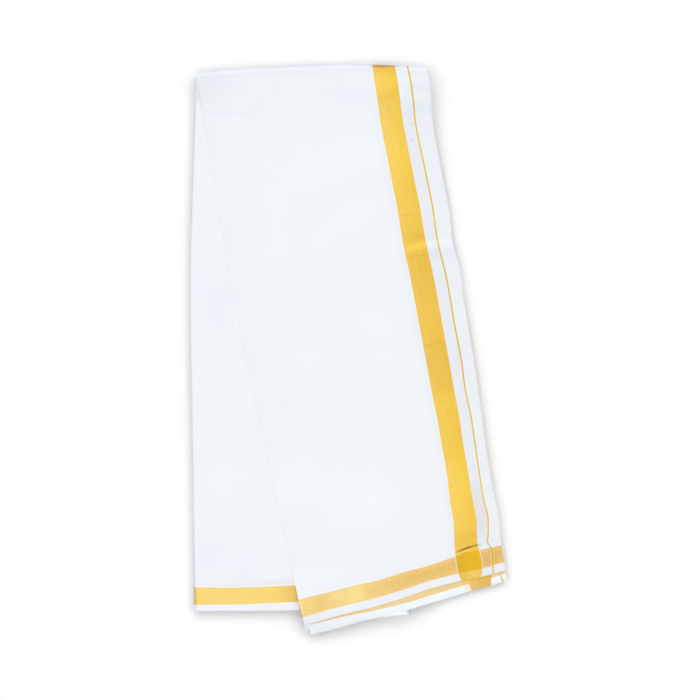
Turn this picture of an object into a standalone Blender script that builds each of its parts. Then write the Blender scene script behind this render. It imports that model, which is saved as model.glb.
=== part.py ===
"""A white cotton dhoti with woven gold borders, folded for the shelf and laid flat.

The cloth is one woven piece, 2.00 m by 1.27 m.  It is halved three times along
its length, so that eight layers lie on each other, and then once across at the
middle of its width.  The front half lies on the back half and is fanned to the
right of it, so the innermost layer of the back half shows along the left.

Plan sizes are millimetres in the part's own frame: "across" runs along +X and
"down" runs from the crest of the top fold towards -Y.  Heights are millimetres
above the flat underside.  Meshes are made in metres.
"""

import math
from collections import namedtuple

import bmesh
import bpy

# Driving dimensions, in millimetres
CLOTH_WIDTH = 1270.0
CLOTH_LENGTH = 2000.0
LAYERS_ALONG = 8
LEAF_WALL = 1.0
HIDDEN_STACK = 2.4
LAYER_GAP = 0.3
CREST_Y = 329.9
METRE = 0.001

# A half of the stack is a leaf, the hidden layers and another leaf
HALF_STACK = 2 * LEAF_WALL + HIDDEN_STACK + 2 * LAYER_GAP
NOSE_RADIUS = HALF_STACK + LAYER_GAP / 2
LEAF_WIDTH = CLOTH_LENGTH / LAYERS_ALONG
LEAF_LENGTH = CLOTH_WIDTH / 2

# Depths below the front's outer face
SECOND_DEPTH = LEAF_WALL + LAYER_GAP
HIDDEN_DEPTH = 2 * SECOND_DEPTH

Edge = namedtuple("Edge", "down across")
Hem = namedtuple("Hem", "across down")
Drop = namedtuple("Drop", "across length")
Step = namedtuple("Step", "part out")

# Crest of the top fold, a low arch
TOP_FOLD = (
    Hem(across=-176.0, down=9.7),
    Hem(across=-148.0, down=6.9),
    Hem(across=-111.0, down=4.4),
    Hem(across=-55.0, down=2.1),
    Hem(across=5.0, down=0.0),
    Hem(across=56.0, down=1.2),
    Hem(across=88.6, down=2.8),
)

# The front half: its folded left edge, and its right edge where the cloth ends lie
FRONT_LEFT = (
    Edge(down=9.7, across=-176.0),
    Edge(down=56.0, across=-168.1),
    Edge(down=115.0, across=-157.7),
    Edge(down=226.0, across=-139.8),
    Edge(down=365.0, across=-112.6),
    Edge(down=497.0, across=-84.2),
    Edge(down=615.0, across=-58.8),
    Edge(down=649.0, across=-51.0),
)
FRONT_RIGHT = (
    Edge(down=2.8, across=88.6),
    Edge(down=20.0, across=94.3),
    Edge(down=76.0, across=99.2),
    Edge(down=122.0, across=107.9),
    Edge(down=177.0, across=118.4),
    Edge(down=205.0, across=120.7),
    Edge(down=233.0, across=128.7),
    Edge(down=261.0, across=132.2),
    Edge(down=353.0, across=147.2),
    Edge(down=455.0, across=161.6),
    Edge(down=492.0, across=167.7),
    Edge(down=520.0, across=173.9),
    Edge(down=548.0, across=176.6),
    Edge(down=585.3, across=182.4),
)
FRONT_HEM = (
    Hem(across=-51.0, down=649.0),
    Hem(across=-8.6, down=636.8),
    Hem(across=31.5, down=627.0),
    Hem(across=60.4, down=618.4),
    Hem(across=95.1, down=606.6),
    Hem(across=131.0, down=597.5),
    Hem(across=155.3, down=592.9),
    Hem(across=182.4, down=585.3),
)

# The back half, which lies square to the frame
BACK_LEFT = (
    Edge(down=9.7, across=-176.0),
    Edge(down=130.0, across=-180.0),
    Edge(down=249.0, across=-183.1),
    Edge(down=434.0, across=-180.6),
    Edge(down=632.2, across=-177.4),
)
BACK_RIGHT = (
    Edge(down=2.8, across=88.6),
    Edge(down=250.0, across=82.0),
    Edge(down=635.7, across=72.0),
)
BACK_HEM_DOWN = 631.0
INNER_HEM = (
    Hem(across=-177.4, down=632.2),
    Hem(across=-53.0, down=BACK_HEM_DOWN),
    Hem(across=72.0, down=624.0),
)
UNDER_HEM = (
    Hem(across=-177.4, down=630.6),
    Hem(across=-60.0, down=630.0),
    Hem(across=-10.0, down=636.0),
    Hem(across=32.6, down=640.6),
    Hem(across=52.3, down=637.4),
    Hem(across=72.0, down=635.7),
)

# How far the layers below the outer leaf reach past its hem, and stay inside its sides
SECOND_LEAF_DROP = (
    Drop(across=-51.0, length=12.6),
    Drop(across=-9.0, length=14.1),
    Drop(across=12.0, length=12.4),
    Drop(across=60.0, length=14.7),
    Drop(across=102.0, length=16.1),
    Drop(across=130.0, length=14.7),
    Drop(across=144.0, length=13.0),
    Drop(across=182.4, length=11.8),
)
SECOND_LEAF_CORNER_INSET = 5.0
SECOND_LEAF_RIGHT_INSET = 0.7
HIDDEN_DROP = 7.6
HIDDEN_SIDE_INSET = 2.0
INNER_LEAF_CLEARANCE = 1.2
INNER_LEAF_CLEARANCE_RUN = 30.0

# The front bundle is pressed thin along its folded left edge, less at its other edges
LEFT_THINNING = HALF_STACK - LEAF_WALL
LEFT_THINNING_REACH = 14.0
EDGE_THINNING = 1.2
EDGE_THINNING_REACH = 20.0
FOLD_STAYS_THICK = 60.0
HEM_STAYS_THICK = 70.0
HEM_LEFT_THINNING_SHARE = 0.10
BACK_THINNING = 1.0
BACK_THINNING_REACH = 14.0
THINNEST_HIDDEN = 0.75

# A pressed storage fold that runs in across the front from its right edge
PRESS_FOLD_ROW = 0.352
PRESS_FOLD_HEIGHT = 1.3
PRESS_FOLD_HALF_WIDTH = 14.0
PRESS_FOLD_FADES = (0.35, 0.75)

# Where the front reaches past the back half it sinks to the surface below
SINK_PAST_SIDE = 45.0
SINK_PAST_HEM = 30.0

# Stations of the sections, as parts of a leaf's width and length
COLUMNS = (0, .012, .028, .052, .09, .14, .20, .26, .32, .38, .44, .50, .56, .62, .68, .74, .80, .87, .94, 1)
FRONT_ROWS = (0, .012, .035, .07, .12, .18, .24, .30, .33, .341, .352, .363, .374, .40, .43, .48, .54, .60,
              .66, .72, .78, .83, .87, .905, .935, .96, .98, 1)
BACK_ROWS = (0, .03, .08, .18, .32, .5, .68, .82, .92, .97, 1)
NOSE_STEPS = 6
LEFT_COLUMNS_END = .14
RIGHT_COLUMNS_START = .87

# Edge shapes: "part" runs from the outer to the inner face, "out" is past the edge line
ROUND_RIM = (
    Step(part=0.25, out=0.3),
    Step(part=0.75, out=0.3),
)
LAYERED_RIM = (
    Step(part=0.06, out=0.3),
    Step(part=0.25, out=0.3),
    Step(part=0.33, out=-0.9),
    Step(part=0.42, out=0.0),
    Step(part=0.58, out=0.0),
    Step(part=0.67, out=-0.9),
    Step(part=0.75, out=0.3),
    Step(part=0.94, out=0.3),
)

COTTON_WHITE = (0.86, 0.89, 0.93, 1.0)
HIDDEN_WHITE = (0.80, 0.83, 0.87, 1.0)
COTTON_ROUGHNESS = 0.85


def clear_scene():
    """Remove every object that the scene opens with."""
    for item in list(bpy.data.objects):
        bpy.data.objects.remove(item, do_unlink=True)


def cotton(name, colour):
    """A matt white cotton finish."""
    material = bpy.data.materials.new(name)
    material.use_nodes = True
    shader = material.node_tree.nodes["Principled BSDF"]
    shader.inputs["Base Color"].default_value = colour
    shader.inputs["Roughness"].default_value = COTTON_ROUGHNESS
    shader.inputs["Metallic"].default_value = 0.0
    return material


def smooth(value):
    """Ease from 0 to 1 as the value goes from 0 to 1."""
    held = min(max(value, 0.0), 1.0)
    return held * held * (3.0 - 2.0 * held)


def mix(start, end, share):
    """The point or number at a share of the way from start to end."""
    if isinstance(start, tuple):
        return tuple(mix(a, b, share) for a, b in zip(start, end))
    return start + (end - start) * share


def read_table(table, at):
    """Read a two-column table at its first column, on a smooth curve through the rows."""
    last = len(table) - 1
    spot = 0
    while spot < last - 1 and at > table[spot + 1][0]:
        spot += 1
    start, end = table[spot], table[spot + 1]
    span = end[0] - start[0]
    before = table[max(spot - 1, 0)]
    after = table[min(spot + 2, last)]
    slope_in = (end[1] - before[1]) / (end[0] - before[0])
    slope_out = (after[1] - start[1]) / (after[0] - start[0])
    share = (at - start[0]) / span
    if share > 1.0:
        return end[1] + (at - end[0]) * slope_out
    rest = 1.0 - share
    lean = rest * share * span * (rest * slope_in - share * slope_out)
    return mix(start[1], end[1], smooth(share)) + lean


def edge_point(table, share):
    """The plan point at a share of the way down an edge, below the rounded top fold."""
    first = table[0].down + NOSE_RADIUS
    down = mix(first, table[-1].down, share)
    return read_table(table, down), down


def fold_point(share):
    """The plan point at a share of the way along the top fold, where the round of the fold starts."""
    across = mix(TOP_FOLD[0].across, TOP_FOLD[-1].across, share)
    return across, read_table(TOP_FOLD, across) + NOSE_RADIUS


def hem_point(table, share):
    """The plan point at a share of the way along a hem."""
    across = mix(table[0].across, table[-1].across, share)
    return across, read_table(table, across)


def leaf_plan(left, right, hem, column, row):
    """A point of a leaf, spread between its four edge curves."""
    side = mix(edge_point(left, row), edge_point(right, row), column)
    rise = mix(fold_point(column), hem_point(hem, column), row)
    top = mix(fold_point(0.0), fold_point(1.0), column)
    foot = mix(edge_point(left, 1.0), edge_point(right, 1.0), column)
    corner = mix(top, foot, row)
    return tuple(s + r - c for s, r, c in zip(side, rise, corner))


def front_plan(column, row, drop=0.0):
    """A plan point of the front half, up to a drop past the outer leaf's hem."""
    point = leaf_plan(FRONT_LEFT, FRONT_RIGHT, FRONT_HEM, column, min(row, 1.0))
    if drop <= 0.0:
        return point
    above = leaf_plan(FRONT_LEFT, FRONT_RIGHT, FRONT_HEM, column, 0.94)
    run = math.hypot(point[0] - above[0], point[1] - above[1])
    return tuple(p + (p - a) / run * drop for p, a in zip(point, above))


def back_height(across, down):
    """The height of the back half's top face."""
    from_left = max(across - read_table(BACK_LEFT, down), 0.0)
    below_fold = smooth((down - TOP_FOLD[0].down) / FOLD_STAYS_THICK)
    return HALF_STACK - BACK_THINNING * below_fold * math.exp(-from_left / BACK_THINNING_REACH)


def inner_height(across, down):
    """The back half's top face with its right and lower edges pressed down as well."""
    from_right = max(read_table(BACK_RIGHT, down) - across, 0.0)
    from_hem = max(BACK_HEM_DOWN - down, 0.0)
    nearest = min(from_right, from_hem)
    below_fold = smooth((down - TOP_FOLD[0].down) / FOLD_STAYS_THICK)
    return back_height(across, down) - BACK_THINNING * below_fold * math.exp(-nearest / BACK_THINNING_REACH)


def front_base(across, down):
    """The height of the front half's lower face, on the back half or sunk beside it."""
    past_side = max(across - read_table(BACK_RIGHT, down), 0.0) / SINK_PAST_SIDE
    past_hem = max(down - BACK_HEM_DOWN, 0.0) / SINK_PAST_HEM
    sunk = smooth(math.hypot(past_side, past_hem))
    return (back_height(across, down) + LAYER_GAP) * (1.0 - sunk)


def left_thinning(row):
    """How much thinner the front is at its left edge than inside, by row."""
    below_fold = smooth(row * LEAF_LENGTH / FOLD_STAYS_THICK)
    above_hem = smooth((1.0 - row) * LEAF_LENGTH / HEM_STAYS_THICK)
    return LEFT_THINNING * below_fold * mix(HEM_LEFT_THINNING_SHARE, 1.0, above_hem)


def front_thickness(column, row):
    """The thickness of the whole front half."""
    from_left = column * LEAF_WIDTH
    from_end = min((1.0 - column) * LEAF_WIDTH, max(1.0 - row, 0.0) * LEAF_LENGTH)
    below_fold = smooth(row * LEAF_LENGTH / FOLD_STAYS_THICK)
    left = left_thinning(row) * math.exp(-from_left / LEFT_THINNING_REACH)
    end = EDGE_THINNING * below_fold * math.exp(-from_end / EDGE_THINNING_REACH)
    return HALF_STACK - left - end


def press_fold(column, row):
    """How far the pressed fold lifts the whole front half."""
    start, end = PRESS_FOLD_FADES
    strength = smooth((column - start) / (end - start))
    away = abs(row - PRESS_FOLD_ROW) * LEAF_LENGTH / PRESS_FOLD_HALF_WIDTH
    return PRESS_FOLD_HEIGHT * strength * (1.0 - smooth(away))


def left_inset(row, needed):
    """How far inside the left edge the front first has the needed thickness, as a part of the width."""
    spare = HALF_STACK - needed
    thinning = left_thinning(row) / spare
    if thinning <= 1.0:
        return 0.0
    return LEFT_THINNING_REACH * math.log(thinning) / LEAF_WIDTH


def inset_column(column, left, right):
    """Draw a leaf's outer columns in by parts of the width, and leave the others in place."""
    if column < LEFT_COLUMNS_END:
        return column + left * (1.0 - column / LEFT_COLUMNS_END)
    if column > RIGHT_COLUMNS_START:
        return column - right * (column - RIGHT_COLUMNS_START) / (1.0 - RIGHT_COLUMNS_START)
    return column


def in_frame(across, down, height):
    """A point of the part's frame, in millimetres."""
    return across, CREST_Y - down, height


def front_point(column, row, drop, depth):
    """A point at a depth below the front's outer face, or on its lower face where depth is None."""
    across, down = front_plan(column, row, drop)
    base = front_base(across, down) + press_fold(column, row)
    if depth is None:
        return in_frame(across, down, base)
    return in_frame(across, down, base + front_thickness(column, row) - depth)


def nose_points(column, start_radius, end_radius):
    """The round of the top fold, from its upper to its lower side."""
    across, down = fold_point(column)
    points = []
    for step in range(1, NOSE_STEPS):
        turn = math.pi * step / NOSE_STEPS
        radius = mix(start_radius, end_radius, step / NOSE_STEPS)
        points.append(in_frame(across, down - radius * math.sin(turn), NOSE_RADIUS + radius * math.cos(turn)))
    return points


def make_wall(name, columns, rim, material):
    """Close a wall between its outer and inner faces, given column by column, with a shaped rim."""
    outer = [pair[0] for pair in columns]
    inner = [pair[1] for pair in columns]
    wide, long = len(outer), len(outer[0])
    loop = [(0, row) for row in range(long)]
    loop += [(column, long - 1) for column in range(1, wide)]
    loop += [(wide - 1, row) for row in range(long - 2, -1, -1)]
    loop += [(column, 0) for column in range(wide - 2, 0, -1)]
    mesh = bmesh.new()

    def vertex(point):
        return mesh.verts.new(tuple(METRE * value for value in point))

    outer_verts = [[vertex(point) for point in line] for line in outer]
    inner_verts = [[vertex(point) for point in line] for line in inner]
    rings = [[outer_verts[column][row] for column, row in loop]]
    for step in rim:
        ring = []
        for column, row in loop:
            inside = min(max(column, 1), wide - 2), min(max(row, 1), long - 2)
            here = mix(outer[column][row], inner[column][row], step.part)
            there = mix(outer[inside[0]][inside[1]], inner[inside[0]][inside[1]], step.part)
            run = math.hypot(here[0] - there[0], here[1] - there[1], here[2] - there[2])
            ring.append(vertex(tuple(h + (h - t) / run * step.out for h, t in zip(here, there))))
        rings.append(ring)
    rings.append([inner_verts[column][row] for column, row in loop])

    for column in range(wide - 1):
        for row in range(long - 1):
            for sheet in (outer_verts, inner_verts):
                near, far = sheet[column][row], sheet[column + 1][row + 1]
                mesh.faces.new((near, sheet[column + 1][row], far))
                mesh.faces.new((near, far, sheet[column][row + 1]))
    for ring, following in zip(rings, rings[1:]):
        for spot in range(len(loop)):
            beside = (spot + 1) % len(loop)
            mesh.faces.new((ring[spot], ring[beside], following[beside], following[spot]))
    bmesh.ops.recalc_face_normals(mesh, faces=mesh.faces)

    data = bpy.data.meshes.new(name)
    mesh.to_mesh(data)
    mesh.free()
    data.shade_smooth()
    data.set_sharp_from_angle(angle=math.radians(50.0))
    data.materials.append(material)
    item = bpy.data.objects.new(name, data)
    bpy.context.scene.collection.objects.link(item)
    return item


def build_outer_leaf(material):
    """The leaf that shows in front: from the front hem, over the top fold and back below everything."""
    columns = []
    for column in COLUMNS:
        faces = []
        for depth in (0.0, LEAF_WALL):
            line = [front_point(column, row, 0.0, depth) for row in reversed(FRONT_ROWS)]
            line += nose_points(column, NOSE_RADIUS - depth, NOSE_RADIUS - depth)
            for row in BACK_ROWS:
                across, down = leaf_plan(BACK_LEFT, BACK_RIGHT, UNDER_HEM, column, row)
                line.append(in_frame(across, down, depth))
            faces.append(line)
        columns.append(faces)
    return make_wall("outer_leaf", columns, ROUND_RIM, material)


def build_second_leaf(material):
    """The other cloth end, just below the outer leaf, which shows past its hem."""
    needed = SECOND_DEPTH + LEAF_WALL
    right = SECOND_LEAF_RIGHT_INSET / LEAF_WIDTH
    columns = []
    for column in COLUMNS:
        faces = []
        for depth in (SECOND_DEPTH, needed):
            line = []
            for share in (1.0, 0.5):
                place = inset_column(column, SECOND_LEAF_CORNER_INSET * share / LEAF_WIDTH, right)
                drop = read_table(SECOND_LEAF_DROP, hem_point(FRONT_HEM, place)[0])
                line.append(front_point(place, 1.0, drop * share, depth))
            for row in reversed(FRONT_ROWS):
                place = inset_column(column, left_inset(row, needed), right)
                line.append(front_point(place, row, 0.0, depth))
            faces.append(line)
        columns.append(faces)
    return make_wall("second_leaf", columns, ROUND_RIM, material)


def build_folded_layers(material):
    """The hidden layers of both halves in one rounded solid, joined round the top fold."""
    needed = HIDDEN_DEPTH + THINNEST_HIDDEN
    side = HIDDEN_SIDE_INSET / LEAF_WIDTH
    nose_inside = NOSE_RADIUS - SECOND_DEPTH - HIDDEN_STACK
    columns = []
    for column in COLUMNS:
        hem_place = inset_column(column, 0.0, side)
        outer = [front_point(hem_place, 1.0, HIDDEN_DROP, HIDDEN_DEPTH)]
        inner = [front_point(hem_place, 1.0, HIDDEN_DROP, None)]
        for row in reversed(FRONT_ROWS):
            place = inset_column(column, left_inset(row, needed), side)
            outer.append(front_point(place, row, 0.0, HIDDEN_DEPTH))
            inner.append(front_point(place, row, 0.0, None))
        outer += nose_points(column, NOSE_RADIUS - HIDDEN_DEPTH, NOSE_RADIUS - SECOND_DEPTH)
        inner += nose_points(column, LAYER_GAP / 2, nose_inside)
        for row in BACK_ROWS:
            place = inset_column(column, side, side)
            across, down = leaf_plan(BACK_LEFT, BACK_RIGHT, UNDER_HEM, place, row)
            outer.append(in_frame(across, down, SECOND_DEPTH))
            inner.append(in_frame(across, down, inner_height(across, down) - SECOND_DEPTH))
        columns.append((outer, inner))
    return make_wall("folded_layers", columns, LAYERED_RIM, material)


def build_inner_leaf(material):
    """The back half's top layer, which shows to the left of the front."""
    columns = []
    for column in COLUMNS:
        faces = []
        for depth in (0.0, LEAF_WALL):
            line = []
            for row in BACK_ROWS:
                near_fold = 1.0 - smooth(row * LEAF_LENGTH / INNER_LEAF_CLEARANCE_RUN)
                across, down = leaf_plan(BACK_LEFT, BACK_RIGHT, INNER_HEM, column, row)
                height = inner_height(across, down) - depth
                line.append(in_frame(across, down + INNER_LEAF_CLEARANCE * near_fold, height))
            faces.append(line)
        columns.append(faces)
    return make_wall("inner_leaf", columns, ROUND_RIM, material)


def main():
    clear_scene()
    build_outer_leaf(cotton("outer_cotton", COTTON_WHITE))
    build_second_leaf(cotton("second_cotton", COTTON_WHITE))
    build_folded_layers(cotton("hidden_cotton", HIDDEN_WHITE))
    build_inner_leaf(cotton("inner_cotton", COTTON_WHITE))


main()
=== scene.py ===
"""The looks of a white cotton dhoti with woven gold borders, folded and laid flat.

The cloth is one woven strip.  Halved three times along its length it has eight
layers, which turn into each other at the left and right folds, and all eight are
then folded once more at the top.  Here the layers are thin shells that follow
those folds, cut into four pieces where one fold hides the cut.

Plan sizes are millimetres in the part's frame: "across" runs along +X and "down"
runs from the crest of the top fold towards -Y.  "Depth" is a share of the way
through a half of the stack, from its outer face to the middle of the bundle.
"""

import math
from collections import namedtuple

import bmesh
import bpy
import numpy as np
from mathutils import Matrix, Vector, noise


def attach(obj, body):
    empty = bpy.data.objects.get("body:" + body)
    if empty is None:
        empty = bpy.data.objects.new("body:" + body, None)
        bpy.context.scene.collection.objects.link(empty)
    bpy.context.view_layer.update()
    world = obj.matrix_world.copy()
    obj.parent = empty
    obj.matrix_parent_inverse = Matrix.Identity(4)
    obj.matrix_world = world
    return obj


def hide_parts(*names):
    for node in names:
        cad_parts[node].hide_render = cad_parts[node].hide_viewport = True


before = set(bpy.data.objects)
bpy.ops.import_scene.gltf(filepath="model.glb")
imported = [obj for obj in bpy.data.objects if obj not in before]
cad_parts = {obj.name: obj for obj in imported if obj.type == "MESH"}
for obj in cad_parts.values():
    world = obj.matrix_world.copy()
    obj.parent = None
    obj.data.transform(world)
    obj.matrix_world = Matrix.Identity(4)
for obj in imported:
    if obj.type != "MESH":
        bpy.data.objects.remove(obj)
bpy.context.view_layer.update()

# The cloth and its folded stack, as the frame has them
CLOTH_WIDTH = 1270.0
CLOTH_LENGTH = 2000.0
LAYERS_ALONG = 8
HALF_STACK = 5.0
LAYER_GAP = 0.3
NOSE_RADIUS = HALF_STACK + LAYER_GAP / 2
LEAF_WIDTH = CLOTH_LENGTH / LAYERS_ALONG
LEAF_LENGTH = CLOTH_WIDTH / 2
CREST_Y = 329.9
METRE = 0.001

# One layer of cloth, as a share of the thickness of eight
CLOTH_SHARE = 0.06

# The columns of the tables, in the order in which their rows give them
Edge = namedtuple("Edge", "down across")
Hem = namedtuple("Hem", "across down")
Stripes = namedtuple("Stripes", "down line band_right band_left")
Border = namedtuple("Border", "across foot head")
Crease = namedtuple("Crease", "start_across start_down end_across end_down bow height width")
Layer = namedtuple("Layer", "drop rise")
Drop = namedtuple("Drop", "across length")
Patch = namedtuple("Patch", "across along across_reach along_reach strength")
Gold = namedtuple("Gold", "bright dull")
Ring = namedtuple("Ring", "lights elevation lean spread share")
Mottle = namedtuple("Mottle", "across_size along_size detail")
Stretch = namedtuple("Stretch", "low high blur")


def rows_of(kind, rows):
    """A table with the named columns of one kind, from rows of numbers."""
    return tuple(kind(*map(float, row)) for row in rows)


# Outlines of the two halves, as in the solids, read off the photo at their bends with the
# help of a separate program
TOP_FOLD = rows_of(Hem, [
    (-176, 9.7),
    (-148, 6.9),
    (-111, 4.4),
    (-55, 2.1),
    (5, 0),
    (56, 1.2),
    (88.6, 2.8),
])
FRONT_LEFT = rows_of(Edge, [
    (9.7, -176),
    (56, -168.1),
    (115, -157.7),
    (226, -139.8),
    (365, -112.6),
    (497, -84.2),
    (615, -58.1),
    (649, -51),
])
FRONT_RIGHT = rows_of(Edge, [
    (2.8, 88.6),
    (20, 94.3),
    (76, 99.2),
    (122, 107.9),
    (177, 118.4),
    (205, 120.7),
    (233, 128.7),
    (261, 132.2),
    (353, 147.2),
    (455, 161.6),
    (492, 167.7),
    (520, 173.9),
    (548, 176.6),
    (585.3, 182.4),
])
FRONT_HEM = rows_of(Hem, [
    (-51, 649),
    (-8.6, 636.8),
    (31.5, 627),
    (60.4, 618.4),
    (95.1, 606.6),
    (131, 597.5),
    (155.3, 592.9),
    (182.4, 585.3),
])
BACK_LEFT = rows_of(Edge, [
    (9.7, -176),
    (130, -180),
    (249, -183.1),
    (434, -180.6),
    (632.2, -177.4),
])
BACK_RIGHT = rows_of(Edge, [
    (2.8, 88.6),
    (250, 82),
    (635.7, 72),
])
BACK_HEM_DOWN = 631.0
INNER_HEM = rows_of(Hem, [
    (-177.4, 632.2),
    (-53, BACK_HEM_DOWN),
    (72, 624),
])
UNDER_HEM = rows_of(Hem, [
    (-177.4, 630.6),
    (-60, 630),
    (-10, 636),
    (32.6, 640.6),
    (52.3, 637.9),
    (72, 636.3),
])

# How much thinner the halves get towards their edges, and over how many millimetres
LEFT_THINNING = 4.8
LEFT_THINNING_REACH = 26.0
SIDE_THINNING = 0.2
UPPER_SIDE_THINNING = 2.8
UPPER_SIDE_END = 0.2
UPPER_SIDE_FADE = 0.22
SIDE_THINNING_REACH = 20.0
HEM_THINNING = 0.9
PRESSED_HEM_THINNING = 2.3
PRESSED_HEM_COLUMN = 0.43
PRESSED_HEM_REACH = 0.17
HEM_THINNING_REACH = 28.0
FOLD_STAYS_THICK = 60.0
LEFT_STAYS_THICK = 34.0
HEM_STAYS_THICK = 70.0
HEM_LEFT_THINNING_SHARE = 0.10
BACK_THINNING = 0.1
BACK_THINNING_REACH = 14.0

# The fold pressed across the band, which fades towards the left
PRESS_FOLD_ROW = 0.352
PRESS_FOLD_HEIGHT = 1.0
PRESS_FOLD_HALF_WIDTH = 14.0
PRESS_FOLD_FADES = (0.62, 0.86)

# How the front half sinks past the back half, whose hidden corner lifts to meet it
SINK_PAST_SIDE = 45.0
SINK_PAST_HEM = 44.0
CLOSED_GAP = 0.24
CORNER_LIFT = 2.8
CORNER_LIFT_START = (20.0, 626.0)
CORNER_LIFT_REACH = (36.0, 9.0)

# The outer columns, which can be drawn in by themselves
LEFT_COLUMNS_END = 0.14
RIGHT_COLUMNS_START = 0.87

# How far the hems of layers 1 to 8 lie past the first one's in front, and short of it behind
LAYERS = dict(enumerate(rows_of(Layer, [
    (0, 0),
    (12.6, 1),
    (7.6, 0.4),
    (7, 1.6),
    (6.2, 0.9),
    (5.4, 0.9),
    (6.6, 0),
    (4.6, 0),
]), start=1))

# The hidden layers in the order of the strip, and the folds where its first side is outside
STACK_ORDER = (8, 5, 4, 3, 6, 7, 2)
FIRST_SIDE_OUTSIDE = ((8, 5), (4, 3), (3, 6))

# How far the second cloth end shows past the first, and how the edges of the layers are drawn in
SECOND_DROP = rows_of(Drop, [
    (-51, 12.6),
    (-9, 14.1),
    (12, 12.4),
    (60, 14.7),
    (102, 16.1),
    (130, 14.7),
    (144, 13),
    (182.4, 11.8),
])
SECOND_DROP_STRETCH = 1.03
SECOND_CORNER_INSET = 5.0
SECOND_CORNER_ENDS = 0.5
SECOND_RIGHT_INSET = 0.7
SECOND_DROOP = 0.3
STACK_CORNER_OUTSET = 1.4
STACK_RIGHT_INSET = 3.0
INNER_RIGHT_INSET = 0.6

# Widths of the woven borders, counted along the threads
LINE_HALF_WIDTH = 0.9
LINE_TO_BAND = 13.0
BAND_WIDTH = 25.7
HEM_MARGIN = 9.7
HEM_BORDER = 19.3
BAND_END = LINE_TO_BAND + BAND_WIDTH
BORDER_END = HEM_MARGIN + HEM_BORDER

# Where the borders lie on the front, on the cloth end below it and on the back.  A separate
# program measured these positions on the photo; rows that the lines do not need are left out
FRONT_STRIPES = rows_of(Stripes, [
    (2.8, 69, 54.3, 28.4),
    (18.4, 72.4, 57.4, 30.7),
    (46.2, 76.2, 61.1, 34.7),
    (67, 78, 63.9, 37.8),
    (131.8, 91.3, 76.5, 50.2),
    (164.2, 97.9, 83.2, 56.7),
    (196.6, 102.5, 88.6, 62.1),
    (212.8, 105.7, 91.9, 64.9),
    (245.2, 113.7, 99.1, 71.9),
    (310, 125.2, 111.1, 84.1),
    (342.4, 131.4, 117.1, 90.3),
    (374.8, 135.6, 122.7, 96.2),
    (407.2, 142.4, 128.8, 102.9),
    (439.6, 147.3, 133.7, 108.5),
    (471.9, 152, 139.2, 114.2),
    (504.3, 157.3, 144.7, 118.1),
    (524, 162, 148.3, 121.3),
    (544.3, 162.3, 149.6, 123.2),
    (553, 161.6, 149.9, 123.2),
    (558.6, 165.4, 151, 123.4),
    (576.6, 167.8, 155.5, 125.9),
    (590, 168.2, 155, 128.5),
    (602.1, 168.8, 154.7, 134.2),
])
SECOND_STRIPES = rows_of(Stripes, [
    (588.8, 176.1, 166.3, 137.4),
    (599.2, 179.6, 166, 140),
    (609, 182, 165.7, 143.6),
])
BACK_LINE_INSET = 20.1
SECOND_BORDER = 20.0
FRONT_BORDER = rows_of(Border, [
    (-46, 9.9, 31.6),
    (-18.3, 10.1, 30),
    (9.5, 9.7, 30.2),
    (37.3, 9.8, 29.5),
    (65, 9.7, 30),
    (92.8, 9.3, 27.6),
    (127, 9.1, 30.2),
    (136, 9.2, 32.1),
    (157.6, 9.5, 31.6),
    (182, 9.9, 30.6),
])
SECOND_BORDER_PAST_HEM = rows_of(Hem, [
    (-51, -1),
    (-38, 1.2),
    (28, 4.4),
    (55.8, 5.8),
    (83.5, 7.8),
    (111.3, 7.5),
    (140, 5.5),
    (182, 3.8),
])
INNER_BORDER = rows_of(Border, [
    (-177, 7, 27.1),
    (-120, 7.5, 26.8),
    (-61, 9.3, 28.7),
    (72, 9, 28.3),
])

# Where the gold is brighter or duller, by thread counts
FRONT_TONE = 0.62
# Painted sheen and shade on the front: the gold is painted brighter where its slopes and the pressed fold's
# ridge catch the light, duller on slopes and in creases that face away, with a painted highlight on the
# hem's border
FRONT_SHEEN_AND_SHADE = rows_of(Patch, [
    (26, 370, 50, 52, -0.3),
    (26, 262, 50, 50, -0.33),
    (26, 229, 50, 6, -0.1),
    (26, 213, 50, 9, 0.08),
    (26, 160, 50, 24, -0.11),
    (26, 412, 50, 7, -0.2),
    (26, 401, 50, 4.5, 0.36),
    (26, 586, 30, 5, -0.15),
    (26, 604, 30, 13, 0.22),
    (26, 520, 30, 28, 0.18),
    (26, 118, 30, 34, 0.16),
    (26, 45, 30, 9, -0.26),
    (65, 19, 70, 9, -0.6),
    (-6, 19, 20, 9, -0.5),
    (164, 18, 10, 12, 0.45),
    (186, 22, 12, 7, 0.2),
    (203, 19, 11, 11, -0.25),
    (26, 31, 14, 1.8, 0.12),
])
# A painted glint: a brighter strip of gold along the left edge of the front's hem border, where the fold
# catches the light
FRONT_GLINTS = rows_of(Crease, [(-57.4, 612, -49.4, 648, 0, 0.6, 1.2)])
SECOND_TONE = 0.0
SECOND_PATCHES = rows_of(Patch, [
    (220, 20, 125, 30, 0.6),
    (4, 20, 12, 30, 0.6),
])
INNER_TONE = 0.86
# Painted shade on the inner leaf's border: darker at its left fold's edge, and at its right end in the
# shadow of the front half's edge
INNER_SHADE_PATCHES = rows_of(Patch, [
    (250, 19, 3, 20, -0.9),
    (372, 19, 19, 20, -0.8),
])
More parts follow.
